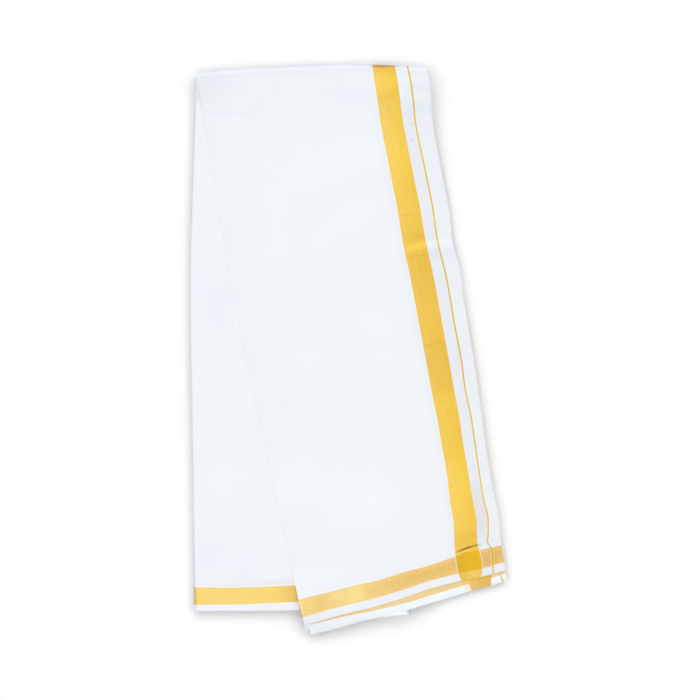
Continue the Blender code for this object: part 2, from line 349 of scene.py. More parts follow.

# Where the white is painted clearer, above 0, or bluer, below 0
# Painted light and shade on the front: bluer shade in the puckers beside the band, in its creases and in
# the dent, and clearer cotton where broad patches take more light
FRONT_LIT_AND_SHADED_TINTS = rows_of(Crease, [
    (-176, 164, 70, 80, 4, 0.75, 24),
    (-83, 128, -80, 236, 0, 0.65, 13),
    (-54, 212, 48, 150, 0, 0.7, 14),
    (-118, 484, 66, 516, -6, 0.85, 30),
    (-84, 598, 6, 582, 0, 0.7, 9),
    (-80, 336, 76, 300, 0, 0.35, 36),
    (-176, 57.4, -104, 55.6, 0.6, -0.8, 3),
    (-169, 16, -164, 64, -1.5, -0.4, 2.2),
    (-184, 24, -110, 22, 0, -0.35, 4),
    (-20, 28, 36, 40, 0, -0.5, 8),
    (58, 27, 116, 25, 0, -1.1, 4.4),
    (70, 48, 124, 55, 0, -1.5, 5.5),
    (70, 79, 112, 86, 0, -0.5, 3),
    (61, 33, 78, 35, 0, -0.8, 1.7),
    (62, 41, 79, 42.5, 0, -0.9, 1.9),
    (63, 49.5, 80, 51.5, 0, -1.1, 1.9),
    (64, 58, 81, 59.5, 0, -0.9, 1.7),
    (66, 67, 82, 69.5, 0, -0.9, 1.9),
    (69, 87.2, 77, 87.2, 0, -1.5, 1.5),
    (146, 506, 158, 570, 0, -0.45, 6),
])
# Painted light: the second cloth end is painted clearer past the first layer's hem, against the shade that
# falls on its sloping strip
SECOND_PAINTED_LIGHT = 1.0
SECOND_PAINTED_LIGHT_FADE = 0.125
BACK_TINTS = rows_of(Crease, [
    (-186, 240, -120, 300, 0, -0.3, 24),
    (-182, 560, -100, 580, 0, -0.35, 22),
    (-170, 470, -96, 476, 0, 0.3, 12),
])

# Painted shade in the creases, the pucker above the crossing, the dent and along the top fold's crest
FRONT_SHADES = rows_of(Crease, [
    (41, 58.8, 66, 58, 0.3, 0.16, 0.9),
    (57, 174.2, 88, 172.6, 0.5, 0.28, 0.9),
    (67, 224, 95, 220.4, -1.2, 0.22, 0.9),
    (85, 326.6, 114, 318, 1.3, 0.34, 0.9),
    (101, 391, 126, 386.5, 0.5, 0.22, 0.8),
    (110, 457.2, 128, 453.4, 0.4, 0.3, 0.9),
    (122.5, 565.8, 156, 555, -1.2, 2.9, 1),
    (70, 87.2, 76.4, 87.2, 0, 0.8, 1.4),
    (20, 2.2, 63, 2.6, -0.1, 1.3, 1.4),
])

# How dark the painted shade is on the side folds, the round of the top fold and the hidden hems, and where
FOLD_SHADE = 2.0
HEM_SHADE = 1.6
NOSE_SHADE = 1.8
RIM_SHADE = 0.5
RIM_GAIN = 2.5
CREST_SHADE = 0.25
CREST_REACH = 5.0
FREE_FOLD_DOWN = BACK_HEM_DOWN - 12.0
FREE_FOLD_FADE = 16.0
STACK_CORNER_COLUMN = 0.08
STACK_CORNER_ROW = 0.95
STACK_CORNER_FADE = 0.03

# Broad soft forms that press or loosen all the layers of the front
FRONT_SWELLS = rows_of(Crease, [
    (52, 202, 126, 204, 0, -0.45, 6.5),
    (-150, 150, -12, 78, 6, 0.45, 17),
    (-90, 492, 44, 575, -9, 0.4, 24),
    (82, 30, 98, 31, 0, -0.4, 4),
    (83, 51, 104, 57, 0, -0.4, 6),
    (-30, 300, 70, 345, 8, -0.3, 20),
    (-60, 230, 20, 190, 4, 0.3, 18),
])

# Creases of the first layer alone
FRONT_CREASES = rows_of(Crease, [
    (43, 58.6, 64, 58, 0.3, -0.1, 1.1),
    (59, 174, 86, 172.6, 0.5, -0.12, 1),
    (69, 223.7, 93, 220.6, -1.2, -0.14, 1),
    (87, 326, 112, 318.4, 1.3, -0.15, 1.1),
    (112, 456.8, 126, 453.6, 0.4, -0.14, 1.1),
    (123, 565.4, 153, 556.2, -1.2, -0.34, 1.1),
    (123.5, 567.4, 152.5, 559.2, -1.4, 0.45, 1.9),
    (65, 33, 77, 35, 0, -0.16, 1.7),
    (66, 41, 78, 42, 0, -0.2, 1.9),
    (68, 49.5, 79, 51.5, 0, -0.22, 1.7),
    (69, 58, 80, 59, 0, -0.18, 1.7),
    (71, 67, 81, 69.5, 0, -0.2, 1.9),
    (71.6, 87.2, 74.6, 87.2, 0, -0.34, 1.3),
    (-175, 20, -168, 57, -1, -0.26, 1.2),
    (-172, 57.6, -118, 54.6, 0.8, -0.3, 2.2),
    (-168, 62.5, -124, 60.5, 0.8, 0.24, 3),
    (-173, 27.4, -150, 25.8, 0, -0.18, 1.6),
    (-132, 330, -96, 322, 1, -0.2, 2.4),
    (-20, 452, 58, 447, 2, -0.16, 3.2),
])
BACK_CREASES = rows_of(Crease, [
    (-82, 606.2, -64, 604.8, 0.4, -0.22, 1.1),
    (-181, 214, -138, 222, 1, -0.2, 2.4),
    (-178, 430, -112, 418, -1.5, -0.2, 2.8),
    (-170, 520, -96, 540, 3, 0.22, 9),
])
UNDER_CREASES = rows_of(Crease, [
    (-150, 90, 10, 84, 2, 0.2, 1.6),
    (-176, 217, 78, 213, -2, 0.24, 2.2),
    (-60, 330, 74, 322, 1.5, 0.2, 1.5),
    (-170, 455, -70, 462, 1, 0.18, 1.8),
    (30, 560, 70, 548, 0.5, 0.22, 1.4),
])

# How thick a half full creases need, how they start, fade and vary, and the waves between them
CREASES_NEED = 2.6
CREASE_FADE = 0.22
CREASE_UNEVENNESS = 0.45
CREASE_BEAT = 5.3
CREASE_SHIFT = 1.7
CREASES_START = 25.0
UNDER_CREASES_START = 0.025
BACK_RELIEF = 0.08
WAVE_HEIGHT = 0.11
WAVE_LENGTH = 48.0
FINE_WAVES = 3.1
FINE_WAVE_SHARE = 0.3
FINE_WAVE_SEED = 7.0

# How many stations the shells have, and where and how closely they gather
OUTER_COLUMNS = 100
OUTER_ROWS = 300
UNDER_ROWS = 44
SECOND_COLUMNS = 64
INNER_COLUMNS = 80
INNER_ROWS = 170
STACK_COLUMNS = 28
STACK_ROWS = 60
NOSE_STEPS = 10
FOLD_STEPS = 7
STATION_SAMPLES = 4001
BOTH_ENDS = (0.0, 1.0)
EDGE_REACH = 0.02
STACK_REACH = 0.03
CREASE_REACH = 0.008
CREASE_GAIN = 4.0
NEAR_HEM_ROW = 0.94
STACK_FINE_ROWS = (PRESS_FOLD_ROW, 0.985)
INNER_FINE_ROWS = (0.0, 0.955, 1.0)
PAST_HEM = (1.0, 0.9, 0.8, 0.7, 0.6, 0.5, 0.4, 0.3, 0.2, 0.1)
CREASED_ROWS = (0.040, 0.086, 0.283, 0.350, 0.366, 0.538, 0.765, 0.945)
SHARP_ANGLE = 50.0

# Colours, as linear light, and shares of it that other colours are multiplied by
COTTON = (0.805, 0.826, 0.868)
# Clearer and bluer whites, for the cotton's uneven clouds and for its painted light and shade
COTTON_CLEAR_AND_LIT = (0.830, 0.870, 0.896)
COTTON_BLUE_AND_SHADED = (0.735, 0.796, 0.870)
BAND_GOLD = Gold(bright=(0.958, 0.672, 0.144), dull=(0.755, 0.442, 0.064))
RICHER_GOLD = (1.0, 0.99, 0.53)
LINE_SHADE = (0.93, 1.0, 1.1)
END_COTTON = (0.925, 0.925, 0.935)
ROSY_COTTON = (0.97, 0.915, 0.91)
FRONT_HEM_GOLD = Gold(bright=(0.960, 0.740, 0.285), dull=(0.780, 0.485, 0.138))
SECOND_HEM_GOLD = Gold(bright=(0.86, 0.67, 0.43), dull=(0.850, 0.615, 0.245))
INNER_HEM_GOLD = Gold(bright=(0.960, 0.700, 0.188), dull=(0.76, 0.49, 0.12))
CROSSING_GOLD = Gold(bright=(0.800, 0.466, 0.003), dull=(0.705, 0.395, 0.010))
SECOND_CROSSING_GOLD = Gold(bright=(0.765, 0.475, 0.070), dull=(0.86, 0.575, 0.150))
MARGIN_GOLD = Gold(bright=(0.860, 0.575, 0.132), dull=(0.79, 0.490, 0.060))
SECOND_BLOCK_GOLD = Gold(bright=(0.747, 0.472, 0.120), dull=(0.80, 0.545, 0.160))
EDGE_THREAD = (0.90, 0.86, 0.76)
SHOW_THROUGH = (0.815, 0.73, 0.75)
BLOCK_BELOW = (0.86, 0.58, 0.14)
# Painted shade: what the shade look multiplies the gold and the cotton by, and then the deeper shade
GOLD_SHADE = (0.70, 0.55, 0.28)
COTTON_SHADE = (0.74, 0.767, 0.815)
GOLD_DEEP_SHADE = (0.42, 0.44, 0.75)
COTTON_DEEP_SHADE = (0.67, 0.68, 0.70)
FLOOR = (0.93, 0.93, 0.93)
FLOOR_ROUGHNESS = 0.9

# Patches of unevenness in the weave, in millimetres, and how strongly each shows
CLOUDS = Mottle(across_size=34.0, along_size=46.0, detail=2.0)
GRAIN = Mottle(across_size=2.2, along_size=1.3, detail=2.0)
STREAKS = Mottle(across_size=0.9, along_size=45.0, detail=3.0)
SPECKS = Mottle(across_size=1.3, along_size=5.0, detail=3.0)
CLOUD_STRENGTH = 0.6
WEFT_GRAIN = 1.3
WEFT_SQUARES = 0.4
WARP_GRAIN = 0.45
WARP_STREAKS = 0.6
CROSSING_DULL_SPECKS = 3.0
CROSSING_DULL_LEFT = 0.75
CROSSING_DULL_START = LINE_TO_BAND + 8.0
STRAY_SCALE = 900.0
STRAY_REACH = 0.5

# The weave's repeats in millimetres, and its relief
SQUARE_LENGTH = 2.6
SQUARE_WIDTH = 2.9
STITCH_PITCH = 1.7
STITCH_RAMP = (0.2, 0.5)
STITCHED_EDGES = ((BAND_END, BAND_END + 1.0), (LINE_TO_BAND - 1.0, LINE_TO_BAND), (1.0, 1.7))
PLAIN_PITCH = 0.46
SATIN_PITCH = 0.62
WEAVE_STRENGTH = 0.35
WEAVE_RELIEF = 0.00006

# How cotton and gold take the light
COTTON_ROUGHNESS = 0.86
GOLD_ROUGHNESS = 0.5
GOLD_METALLIC = 0.08
SHEEN = 0.06
SHEEN_ROUGHNESS = 0.5

# Where the band is richer or paler, and the cotton beside it duller or rosier
BAND_LEAN = 0.006
BAND_LEAN_START = -0.15
LEFT_RICHNESS = 0.36
RIGHT_RICHNESS = 0.86
PALER_STRETCH = Stretch(low=518.0, high=588.0, blur=15.0)
RICHER_STRETCH = Stretch(low=125.0, high=215.0, blur=30.0)
RICHER = 0.25
# Painted highlight: a paler strip of the band along the lit ridge of the pucker above the crossing
PUCKER_HIGHLIGHT_STRETCH = Stretch(low=29.4, high=32.0, blur=0.5)
PUCKER_HIGHLIGHT_CHANGE = -0.5
BESIDE_LINE = Stretch(low=LINE_HALF_WIDTH, high=LINE_TO_BAND, blur=0.4)
DULL_BESIDE_LINE = 0.45
DULL_PAST_BAND = 0.5
DULL_REACH = 12.0
DULL_FADE = (590.0, 560.0)
ROSY_STRETCH = Stretch(low=46.0, high=106.0, blur=14.0)
MARGIN_BLUR = 0.3

# Where a border below shows through, above the inner leaf's own
BELOW_SLANT = 0.034
BELOW_TOP = BORDER_END + 4.2
BELOW_FOOT = (BORDER_END + 0.6, BORDER_END + 2.2)
BELOW_BLUR = 0.9
BELOW_STRENGTH = 0.25
BELOW_GAIN = 0.0045

# Where the gold above shows through the second cloth end, left of its own band
BLOCK_STRETCH = Stretch(low=BAND_END - 4.0, high=BAND_END + 6.5, blur=4.5)
BLOCK_EDGE = (BAND_END - 0.5, BAND_END + 0.5)
BLOCK_SHARES = (0.33, 0.75)

# The picture's frame: 0.81 m wide, seen from straight above
VIEW_HEIGHT = 4.0
VIEW_PLANE = 0.006
VIEW_WIDTH = 0.8099
VIEW_CENTRE = (0.0025, -0.0003)
SENSOR = 36.0
FARTHEST = 50.0

# Two rings of broad softboxes, which give more light from beyond the top fold
WORLD_LIGHT = 0.05
RINGS = (
    Ring(lights=12, elevation=24.0, lean=1.55, spread=26.0, share=0.62),
    Ring(lights=12, elevation=44.0, lean=1.25, spread=34.0, share=0.42),
)
BEYOND_SHARE = 0.25
LIGHT_DISTANCE = 3.0

# The floor, and the low sweep round its far rim
FLOOR_RADIUS = 5.0
SWEEP_HEIGHT = 1.2
SWEEP_REACH = 1.4
FLOOR_TURNS = 48
SWEEP_STEPS = 8
FLOOR_DROP = 0.0002


def smooth(value):
    """Ease from 0 to 1 as the value goes from 0 to 1."""
    held = np.clip(value, 0.0, 1.0)
    return held * held * (3.0 - 2.0 * held)


def last_quarter(value):
    """Ease from 0 to 1 over the last quarter of the way from 0 to 1."""
    return smooth(value * 4.0 - 3.0)


def mix(start, end, share):
    """The number or point at a share of the way from start to end."""
    return start + (end - start) * share


def read_table(table, at, name=None):
    """Read a table at its first column, on a smooth curve through the rows."""
    where = np.array([row[0] for row in table])
    values = np.array([row[1] if name is None else getattr(row, name) for row in table])
    last = len(table) - 1
    after = np.minimum(np.arange(last + 1) + 1, last)
    before = np.maximum(np.arange(last + 1) - 1, 0)
    slopes = (values[after] - values[before]) / (where[after] - where[before])
    held = np.clip(at, where[0], where[-1])
    spot = np.clip(np.searchsorted(where, held, side="right") - 1, 0, last - 1)
    span = where[spot + 1] - where[spot]
    share = (held - where[spot]) / span
    rest = 1.0 - share
    lean = rest * share * span * (rest * slopes[spot] - share * slopes[spot + 1])
    inside = mix(values[spot], values[spot + 1], smooth(share)) + lean
    return inside + (at - held) * np.where(at > held, slopes[-1], slopes[0])


def edge_point(table, share):
    """Plan points at shares of the way down an edge, below the rounded top fold."""
    down = mix(table[0].down + NOSE_RADIUS, table[-1].down, share)
    return np.stack([read_table(table, down), down])


def fold_point(share):
    """Plan points at shares of the way along the line where the round of the top fold starts."""
    across = mix(TOP_FOLD[0].across, TOP_FOLD[-1].across, share)
    return np.stack([across, read_table(TOP_FOLD, across) + NOSE_RADIUS])


def hem_point(table, share):
    """Plan points at shares of the way along a hem."""
    across = mix(table[0].across, table[-1].across, share)
    return np.stack([across, read_table(table, across)])


def leaf_plan(left, right, hem, column, row):
    """Points of a leaf, spread between its four edge curves."""
    column, row = np.broadcast_arrays(np.asarray(column, float), np.asarray(row, float))
    side = mix(edge_point(left, row), edge_point(right, row), column)
    rise = mix(fold_point(column), hem_point(hem, column), row)
    ends = np.zeros_like(column)
    top = mix(fold_point(ends), fold_point(ends + 1.0), column)
    foot = mix(edge_point(left, ends + 1.0), edge_point(right, ends + 1.0), column)
    return side + rise - mix(top, foot, row)


def front_plan(column, row, drop):
    """Plan points of the front half, up to a drop past the first layer's hem."""
    point = leaf_plan(FRONT_LEFT, FRONT_RIGHT, FRONT_HEM, column, np.minimum(row, 1.0))
    above = leaf_plan(FRONT_LEFT, FRONT_RIGHT, FRONT_HEM, column, NEAR_HEM_ROW)
    run = np.where(row >= 1.0, np.hypot(*(point - above)), 1.0)
    return point + (point - above) / run * drop


def back_height(across, down):
    """The height of the back half's top face."""
    from_left = np.maximum(across - read_table(BACK_LEFT, down), 0.0)
    below_fold = smooth((down - TOP_FOLD[0].down) / FOLD_STAYS_THICK)
    return HALF_STACK - BACK_THINNING * below_fold * np.exp(-from_left / BACK_THINNING_REACH)


def inner_height(across, down):
    """The back half's top face with its right and lower edges pressed down as well."""
    from_right = np.maximum(read_table(BACK_RIGHT, down) - across, 0.0)
    nearest = np.minimum(from_right, np.maximum(BACK_HEM_DOWN - down, 0.0))
    below_fold = smooth((down - TOP_FOLD[0].down) / FOLD_STAYS_THICK)
    pressed = BACK_THINNING * below_fold * np.exp(-nearest / BACK_THINNING_REACH)
    return back_height(across, down) - pressed


def front_base(across, down):
    """The height of the front half's lower face, on the back half or sunk beside it."""
    past_side = np.maximum(across - read_table(BACK_RIGHT, down), 0.0) / SINK_PAST_SIDE
    past_hem = np.maximum(down - BACK_HEM_DOWN, 0.0) / SINK_PAST_HEM
    sunk = smooth(np.hypot(past_side, past_hem))
    closed = CLOSED_GAP * smooth((down - TOP_FOLD[0].down) / FOLD_STAYS_THICK)
    return (back_height(across, down) + LAYER_GAP - closed) * (1.0 - sunk)


def front_thickness(column, row):
    """The thickness of the whole front half."""
    from_hem = np.maximum(1.0 - row, 0.0) * LEAF_LENGTH
    below_fold = smooth(row * LEAF_LENGTH / FOLD_STAYS_THICK)
    above_hem = smooth((1.0 - row) * LEAF_LENGTH / HEM_STAYS_THICK)
    at_left = LEFT_THINNING * mix(HEM_LEFT_THINNING_SHARE, 1.0, above_hem)
    at_left = at_left * smooth(row * LEAF_LENGTH / LEFT_STAYS_THICK)
    left = at_left * np.exp(-column * LEAF_WIDTH / LEFT_THINNING_REACH)
    upper = UPPER_SIDE_THINNING * (1.0 - smooth((row - UPPER_SIDE_END) / UPPER_SIDE_FADE))
    from_right = (1.0 - column) * LEAF_WIDTH
    side = (SIDE_THINNING + upper) * below_fold * np.exp(-from_right / SIDE_THINNING_REACH)
    on_corner = np.exp(-(((column - PRESSED_HEM_COLUMN) / PRESSED_HEM_REACH) ** 2))
    hem = (HEM_THINNING + PRESSED_HEM_THINNING * on_corner) * np.exp(-from_hem / HEM_THINNING_REACH)
    return HALF_STACK - left - np.hypot(side, hem)


def press_fold(column, row):
    """How far the pressed fold lifts the whole front half."""
    start, end = PRESS_FOLD_FADES
    strength = smooth((column - start) / (end - start))
    away = np.abs(row - PRESS_FOLD_ROW) * LEAF_LENGTH / PRESS_FOLD_HALF_WIDTH
    return PRESS_FOLD_HEIGHT * strength * (1.0 - smooth(away))


def inset_column(column, left, right):
    """Draw a leaf's outer columns in by parts of the width, and leave the others in place."""
    near_left = np.maximum(1.0 - column / LEFT_COLUMNS_END, 0.0)
    near_right = np.maximum((column - RIGHT_COLUMNS_START) / (1.0 - RIGHT_COLUMNS_START), 0.0)
    return column + left * near_left - right * near_right


def crease_height(creases, across, down):
    """The summed height of creases, each a soft line that fades at its ends and is uneven between."""
    total = np.zeros_like(across)
    for number, crease in enumerate(creases):
        run = np.array([crease.end_across - crease.start_across, crease.end_down - crease.start_down])
        length = np.hypot(*run)
        run /= length
        from_start, below_start = across - crease.start_across, down - crease.start_down
        along = (from_start * run[0] + below_start * run[1]) / length
        aside = below_start * run[0] - from_start * run[1]
        aside = aside - crease.bow * 4.0 * along * (1.0 - along)
        fade = smooth(along / CREASE_FADE) * smooth((1.0 - along) / CREASE_FADE)
        uneven = 1.0 - CREASE_UNEVENNESS * np.sin(CREASE_BEAT * along + CREASE_SHIFT * number) ** 2
        total += crease.height * fade * uneven * np.exp(-((aside / crease.width) ** 2))
    return total


def cloth_waves(across, down, seed):
    """Shallow uneven waves that woven cotton keeps when it lies loose."""
    heights = []
    for x, y in zip(across.ravel() / WAVE_LENGTH, down.ravel() / WAVE_LENGTH):
        broad = noise.noise(Vector((x, y, seed)))
        fine = noise.noise(Vector((FINE_WAVES * x, FINE_WAVES * y, seed + FINE_WAVE_SEED)))
        heights.append(WAVE_HEIGHT * (broad + FINE_WAVE_SHARE * fine))
    return np.array(heights).reshape(across.shape)


def layer_depths(layer):
    """The depths of a layer's outer and inner side, as shares of a half stack."""
    outer = (layer - 1) * (1.0 - CLOTH_SHARE) / (LAYERS_ALONG - 1)
    return outer, outer + CLOTH_SHARE


def stations(count, fine=(), reach=0.012, gain=2.5):
    """Stations from 0 to 1, closer together round the fine ones."""
    share = np.linspace(0.0, 1.0, STATION_SAMPLES)
    density = np.ones_like(share)
    for spot in fine:
        density += gain * np.exp(-(((share - spot) / reach) ** 2))
    passed = np.concatenate([[0.0], np.cumsum((density[1:] + density[:-1]) / 2)])
    return np.interp(np.linspace(0.0, passed[-1], count), passed, share)


# A path runs across the leaf through one or more layers.  Each of its stations has a
# column, how far out past that column the cloth's two sides lie, as shares of the half
# stack's thickness, their depths, the layer's drop and rise at the hems, and how much of a
# fold's side it is.


def layer_path(layer, columns, outer_first=True):
    """The stations of a path along one layer."""
    outer, inner = layer_depths(layer)
    first, second = (outer, inner) if outer_first else (inner, outer)
    hems = LAYERS[layer]
    return [(column, 0.0, first, 0.0, second, hems.drop, hems.rise, 0.0) for column in columns]


def fold_path(start, end, side, first_outside):
    """The stations of a path round the fold between two layers, at the left (-1) or right (1)."""
    upper = layer_depths(min(start, end))
    lower = layer_depths(max(start, end))
    middle = (upper[0] + lower[1]) / 2
    outer_radius = (lower[1] - upper[0]) / 2
    inner_radius = (lower[0] - upper[1]) / 2
    first, second = (outer_radius, inner_radius) if first_outside else (inner_radius, outer_radius)
    way = 1.0 if end > start else -1.0
    path = []
    for step in range(1, FOLD_STEPS):
        share = step / FOLD_STEPS
        turn = math.pi * share
        out, rise = side * math.sin(turn), -way * math.cos(turn)
        drop = mix(LAYERS[start].drop, LAYERS[end].drop, share)
        short = mix(LAYERS[start].rise, LAYERS[end].rise, share)
        column = 0.0 if side < 0 else 1.0
        outward, inward = (out * first, middle + rise * first), (out * second, middle + rise * second)
        path.append((column, *outward, *inward, drop, short, math.sin(turn) ** 2))
    return path


def place_front(column, out, depth, drop, rows, right=0.0, corner=0.0, droop=0.0):
    """Points of the front half, from past the hem up to the top fold."""
    row, past = rows
    half = front_thickness(np.zeros_like(row), row) / 2
    corner = corner * smooth(past / SECOND_CORNER_ENDS)
    place = inset_column(column, (half + corner) / LEAF_WIDTH, right / LEAF_WIDTH)
    across, down = front_plan(place, row, drop * past)
    thickness = front_thickness(place, row)
    loose = smooth(row * LEAF_LENGTH / FOLD_STAYS_THICK)
    thickness = thickness + loose * crease_height(FRONT_SWELLS, across, down)
    base = front_base(across, down) + press_fold(place, row)
    across, down = front_plan(place + out * thickness / LEAF_WIDTH, row, drop * past)
    sag = droop * smooth((past - SECOND_CORNER_ENDS) / (1.0 - SECOND_CORNER_ENDS))
    return np.stack([across, down, base + thickness * (1.0 - depth) - sag])


def place_nose(column, out, depth, turn, right):
    """Points round the top fold, from its upper to its lower side."""
    place = inset_column(column, HALF_STACK / 2 / LEAF_WIDTH, right / LEAF_WIDTH)
    across, down = fold_point(place + out * HALF_STACK / LEAF_WIDTH + 0.0 * turn)
    radius = NOSE_RADIUS - depth * HALF_STACK
    return np.stack([across, down - radius * np.sin(turn), NOSE_RADIUS + radius * np.cos(turn)])


def place_back(column, out, depth, rise, row, right, hem):
    """Points of the back half, from the top fold down to its hem."""
    half = inner_height(*edge_point(BACK_LEFT, row)) / 2
    place = inset_column(column, half / LEAF_WIDTH, right / LEAF_WIDTH)
    across, down = leaf_plan(BACK_LEFT, BACK_RIGHT, hem, place, row)
    lift = CORNER_LIFT
    for at, start, reach in zip((across, down), CORNER_LIFT_START, CORNER_LIFT_REACH):
        lift = lift * smooth((at - start) / reach)
    thickness = inner_height(across, down) + lift
    across, down = leaf_plan(BACK_LEFT, BACK_RIGHT, hem, place + out * thickness / LEAF_WIDTH, row)
    return np.stack([across, down - rise * last_quarter(row), thickness * depth])


def woven(distance, start, end, plain, border):
    """Count threads in from an edge, over a plain margin of its own width and then a border."""
    in_plain = plain * np.minimum(distance / start, 1.0)
    in_border = border * np.clip((distance - start) / (end - start), 0.0, 1.0)
    return in_plain + in_border + np.maximum(distance - end, 0.0)


def stripe_threads(table, across, down):
    """Millimetres of cloth inwards from the thin gold line, by a table of where the stripes lie."""
    held = np.clip(down, table[0].down, table[-1].down)
    line, right, left = (
        read_table(table, held, name) for name in ("line", "band_right", "band_left")
    )
    return woven(line - across, line - right, line - left, LINE_TO_BAND, BAND_WIDTH)


def hem_threads(above_hem, foot=HEM_MARGIN, head=BORDER_END):
    """Millimetres of cloth up from a hem."""
    return woven(above_hem, foot, head, HEM_MARGIN, HEM_BORDER)


def held_table(table, across, name):
    """Read a table at plan points, held at its ends."""
    return read_table(table, np.clip(across, table[0].across, table[-1].across), name)


def border_threads(table, across, above_hem):
    """Millimetres of cloth up from a hem, by a table of where its border lies."""
    foot, head = (held_table(table, across, name) for name in ("foot", "head"))
    return hem_threads(above_hem, foot, head)


def front_threads(points):
    """Thread counts of the first layer on the front."""
    across, down, _ = points
    above = read_table(FRONT_HEM, across) - down
    stripes = stripe_threads(FRONT_STRIPES, across, down)
    return np.stack([stripes, border_threads(FRONT_BORDER, across, above)])


def under_threads(points):
    """Thread counts of the first layer on the underside."""
    across, down, _ = points
    from_line = read_table(BACK_RIGHT, down) - BACK_LINE_INSET - across
    stripes = woven(from_line, LINE_TO_BAND, BAND_END, LINE_TO_BAND, BAND_WIDTH)
    return np.stack([stripes, hem_threads(read_table(UNDER_HEM, across) - down)])


def second_threads(points):
    """Thread counts of the cloth end below the first layer."""
    across, down, _ = points
    first_hem = read_table(FRONT_HEM, across)
    past = held_table(SECOND_BORDER_PAST_HEM, across, "down")
    hem = first_hem + held_table(SECOND_DROP, across, "length") * SECOND_DROP_STRETCH
    foot = hem - first_hem - past
    along = hem_threads(hem - down, foot, foot + SECOND_BORDER)
    return np.stack([stripe_threads(SECOND_STRIPES, across, down), along])


def inner_threads(points):
    """Thread counts of the back half's top layer, counted from its left fold."""
    across, down, _ = points
    from_fold = LEAF_WIDTH + across - read_table(BACK_LEFT, down)
    above = read_table(INNER_HEM, across) - down
    return np.stack([from_fold, border_threads(INNER_BORDER, across, above)])


def stack_threads(points, drop, rise, is_front):
    """Thread counts of the hidden layers, which have borders at the hems alone."""
    across, down, _ = points
    front_hem = read_table(FRONT_HEM, across) + drop
    back_hem = read_table(UNDER_HEM, across) - rise
    above = np.where(is_front, front_hem, back_hem) - down
    return np.stack([LEAF_WIDTH + across, hem_threads(above)])


def patch_tones(base, patches, threads):
    """How bright the gold is, from 0 to 1, at thread counts, with the patches added; on the front and the
    inner leaf these are painted sheen and shade.
    """
    across, along = threads
    tone_and_sheen = np.full_like(across, base)
    for patch in patches:
        aside = (across - patch.across) / patch.across_reach
        away = np.hypot(aside, (along - patch.along) / patch.along_reach)
        tone_and_sheen += patch.strength * np.exp(-(away ** 2))
    return np.clip(tone_and_sheen, 0.0, 1.0)


def make_shell(name, material, sides, threads, looks, gaps=()):
    """Close a thin cloth between its two sides, over their whole grid but for some gaps."""
    first, second = sides
    wide, long = first.shape[1:]
    corner = np.arange(wide * long).reshape(wide, long)
    cells = np.stack([corner[:-1, :-1], corner[1:, :-1], corner[1:, 1:], corner[:-1, 1:]], axis=-1)
    keep = np.ones((wide - 1, long - 1), dtype=bool)
    for gap in gaps:
        keep[gap] = False
    framed = np.pad(keep, 1)
    beside = (framed[1:-1, :-2], framed[2:, 1:-1], framed[1:-1, 2:], framed[:-2, 1:-1])
    other = wide * long
    faces = [cells[keep], cells[keep][:, ::-1] + other]
    for side, neighbour in enumerate(beside):
        bare = cells[keep & ~neighbour]
        start, end = bare[:, side], bare[:, (side + 1) % 4]
        faces.append(np.stack([end, start, start + other, end + other], axis=-1))
    used, faces = np.unique(np.concatenate(faces), return_inverse=True)
    faces = faces.reshape(-1, 4)
    across, down, height = (np.concatenate([a.ravel(), b.ravel()])[used] for a, b in zip(first, second))
    vertices = np.stack([across, CREST_Y - down, height], axis=-1) * METRE

    mesh = bpy.data.meshes.new(name)
    mesh.from_pydata(vertices.tolist(), [], faces.tolist())
    edit = bmesh.new()
    edit.from_mesh(mesh)
    bmesh.ops.recalc_face_normals(edit, faces=edit.faces)
    edit.to_mesh(mesh)
    edit.free()
    counts = np.tile(threads.reshape(2, -1), 2)[:, used].T * METRE
    corners = np.zeros(len(mesh.loops), dtype=np.int32)
    mesh.loops.foreach_get("vertex_index", corners)
    mesh.uv_layers.new(name="threads").data.foreach_set("uv", counts[corners].ravel())
    for look, values in looks.items():
        values = np.broadcast_to(values, threads.shape[1:])
        held = mesh.attributes.new(look, "FLOAT", "POINT")
        held.data.foreach_set("value", np.tile(values.ravel(), 2)[used])
    mesh.shade_smooth()
    mesh.set_sharp_from_angle(angle=math.radians(SHARP_ANGLE))
    mesh.materials.append(material)
    piece = bpy.data.objects.new(name, mesh)
    bpy.context.scene.collection.objects.link(piece)
    return piece


def path_columns(path):
    """A path's values as upright arrays, with the places of its two sides in pairs."""
    column, *places, drop, rise, bend = (np.array(value)[:, None] for value in zip(*path))
    return column, (places[:2], places[2:]), drop, rise, bend


def front_rows(rows, with_past):
    """The front's rows from the hem to the top fold, with how far past the hem each lies."""
    row = rows[::-1]
    past = np.zeros_like(row)
    if with_past:
        row = np.concatenate([np.ones(len(PAST_HEM)), row])
        past = np.concatenate([PAST_HEM, past])
    return row[None, :], past[None, :]


def nose_turns():
    """The turns of the rows round the top fold."""
    return (np.pi * np.arange(1, NOSE_STEPS) / NOSE_STEPS)[None, :]


def crest_shade(turn):
    """The painted shade round the top fold: faint on its upper side and deep below the crest."""
    below_crest = np.where(turn > math.pi / 2, 1.0, np.sin(turn) ** 4)
    upper = mix(CREST_SHADE, RIM_SHADE, smooth(np.sin(turn) * RIM_GAIN))
    return mix(upper, NOSE_SHADE, below_crest)


